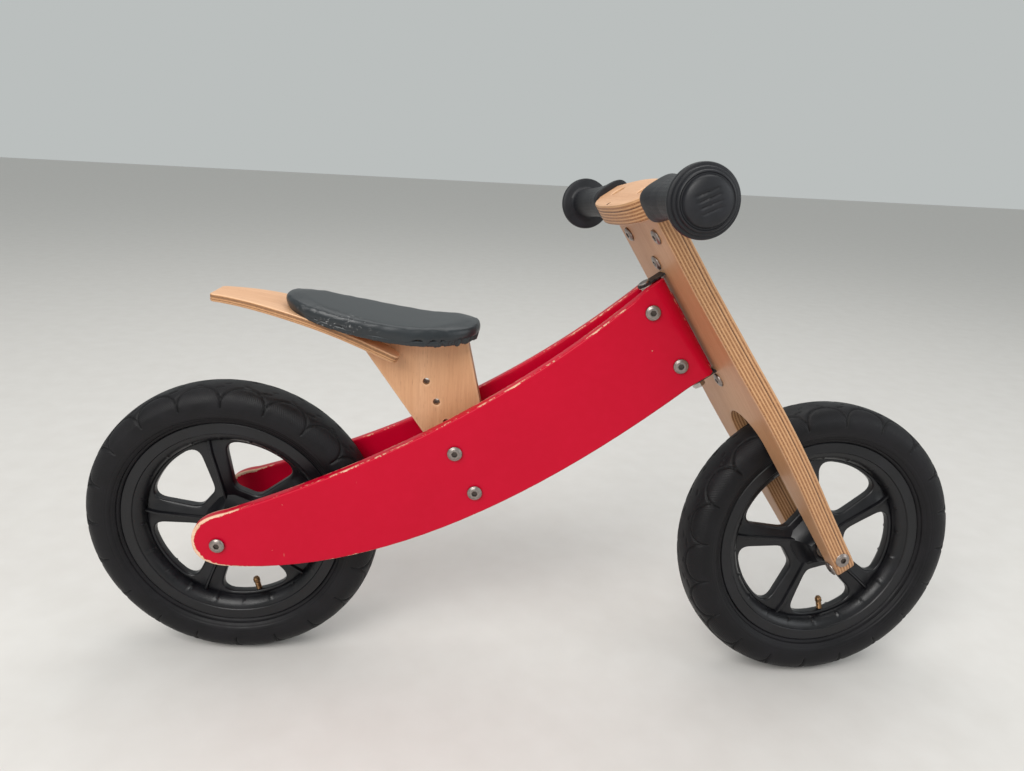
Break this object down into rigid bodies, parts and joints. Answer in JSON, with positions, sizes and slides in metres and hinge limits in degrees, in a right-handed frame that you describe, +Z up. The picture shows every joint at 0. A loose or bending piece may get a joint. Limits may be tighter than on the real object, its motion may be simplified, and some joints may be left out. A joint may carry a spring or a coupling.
{
  "type": "balance bike",
  "caption": "Child's wooden balance bike: red plywood side panels, fork board with handlebar, padded saddle on a ply post, and pneumatic tyres on plastic spoked wheels.",
  "frame": {"origin": "on the ground, below the middle of the whole bike as it stands at rest", "axes": "+X forward along the bike, +Y to the rider's left, +Z up"},
  "size_m": [0.9146, 0.364, 0.5354],
  "materials": {
    "red_paint": "satin red paint, worn at the edges",
    "birch_ply": "clear satin varnish, layers showing on the edges",
    "tyre_rubber": "matte black with a moulded tread",
    "tube_rubber": "matte",
    "rim_plastic": "fine satin black",
    "grip_rubber": "matte black, fine dots",
    "saddle_vinyl": "satin black vinyl",
    "nickel": "bright nickel plate",
    "dark_steel": "black-plated steel",
    "brass": "dull brass",
    "nylon": "natural nylon"
  },
  "bodies": {
    "frame": {"head_block": "red_paint", "head_lower_bolt": "nickel", "head_lower_nut": "nickel", "head_upper_bolt": "nickel", "head_upper_nut": "nickel", "left_panel": "red_paint", "pivot_bush_lower": "nylon", "pivot_bush_upper": "nylon", "rear_axle_bolt": "nickel", "rear_axle_nut": "nickel", "rear_spacer_left": "nickel", "rear_spacer_right": "nickel", "right_panel": "red_paint", "saddle_board": "birch_ply", "saddle_cushion": "saddle_vinyl", "seat_lower_bolt": "nickel", "seat_lower_nut": "nickel", "seat_plate": "birch_ply", "seat_spacer_left": "birch_ply", "seat_spacer_right": "birch_ply", "seat_upper_bolt": "nickel", "seat_upper_nut": "nickel", "tail_board": "birch_ply"},
    "steering": {"bar_bolt_left": "nickel", "bar_bolt_right": "nickel", "barrel_nut_left": "nickel", "barrel_nut_right": "nickel", "bracket_bolt_lower": "nickel", "bracket_bolt_upper": "nickel", "bracket_nut_lower": "nickel", "bracket_nut_upper": "nickel", "fork_board": "birch_ply", "front_axle_bolt": "nickel", "front_axle_nut": "nickel", "front_spacer_left": "nickel", "front_spacer_right": "nickel", "grip_left": "grip_rubber", "grip_right": "grip_rubber", "handlebar_board": "birch_ply", "leg_bolt_left": "nickel", "leg_bolt_right": "nickel", "steering_bolt": "dark_steel", "steering_bracket_lower": "dark_steel", "steering_bracket_upper": "dark_steel", "steering_nut": "dark_steel"},
    "front_wheel": {"front_bearing_left": "dark_steel", "front_bearing_right": "dark_steel", "front_inner_tube": "tube_rubber", "front_rim": "rim_plastic", "front_tyre": "tyre_rubber", "front_valve_cap": "brass", "front_valve_stem": "brass"},
    "rear_wheel": {"rear_bearing_left": "dark_steel", "rear_bearing_right": "dark_steel", "rear_inner_tube": "tube_rubber", "rear_rim": "rim_plastic", "rear_tyre": "tyre_rubber", "rear_valve_cap": "brass", "rear_valve_stem": "brass"}
  },
  "joints": [
    {"name": "steering_turn", "type": "hinge", "parent": "frame", "child": "steering", "pos_m": [0.28409, -0.00474, 0.13335], "axis": [-0.5505, 0, 0.8348], "range_deg": [-49.7, 30.3]},
    {"name": "front_wheel_spin", "type": "hinge", "parent": "steering", "child": "front_wheel", "pos_m": [0.30837, 0.00023, 0.14935], "axis": [-0.1407, 0.9857, -0.0928], "continuous": true},
    {"name": "rear_wheel_spin", "type": "hinge", "parent": "frame", "child": "rear_wheel", "pos_m": [-0.30733, -0.00474, 0.15], "axis": [0, 1, 0], "continuous": true}
  ]
}
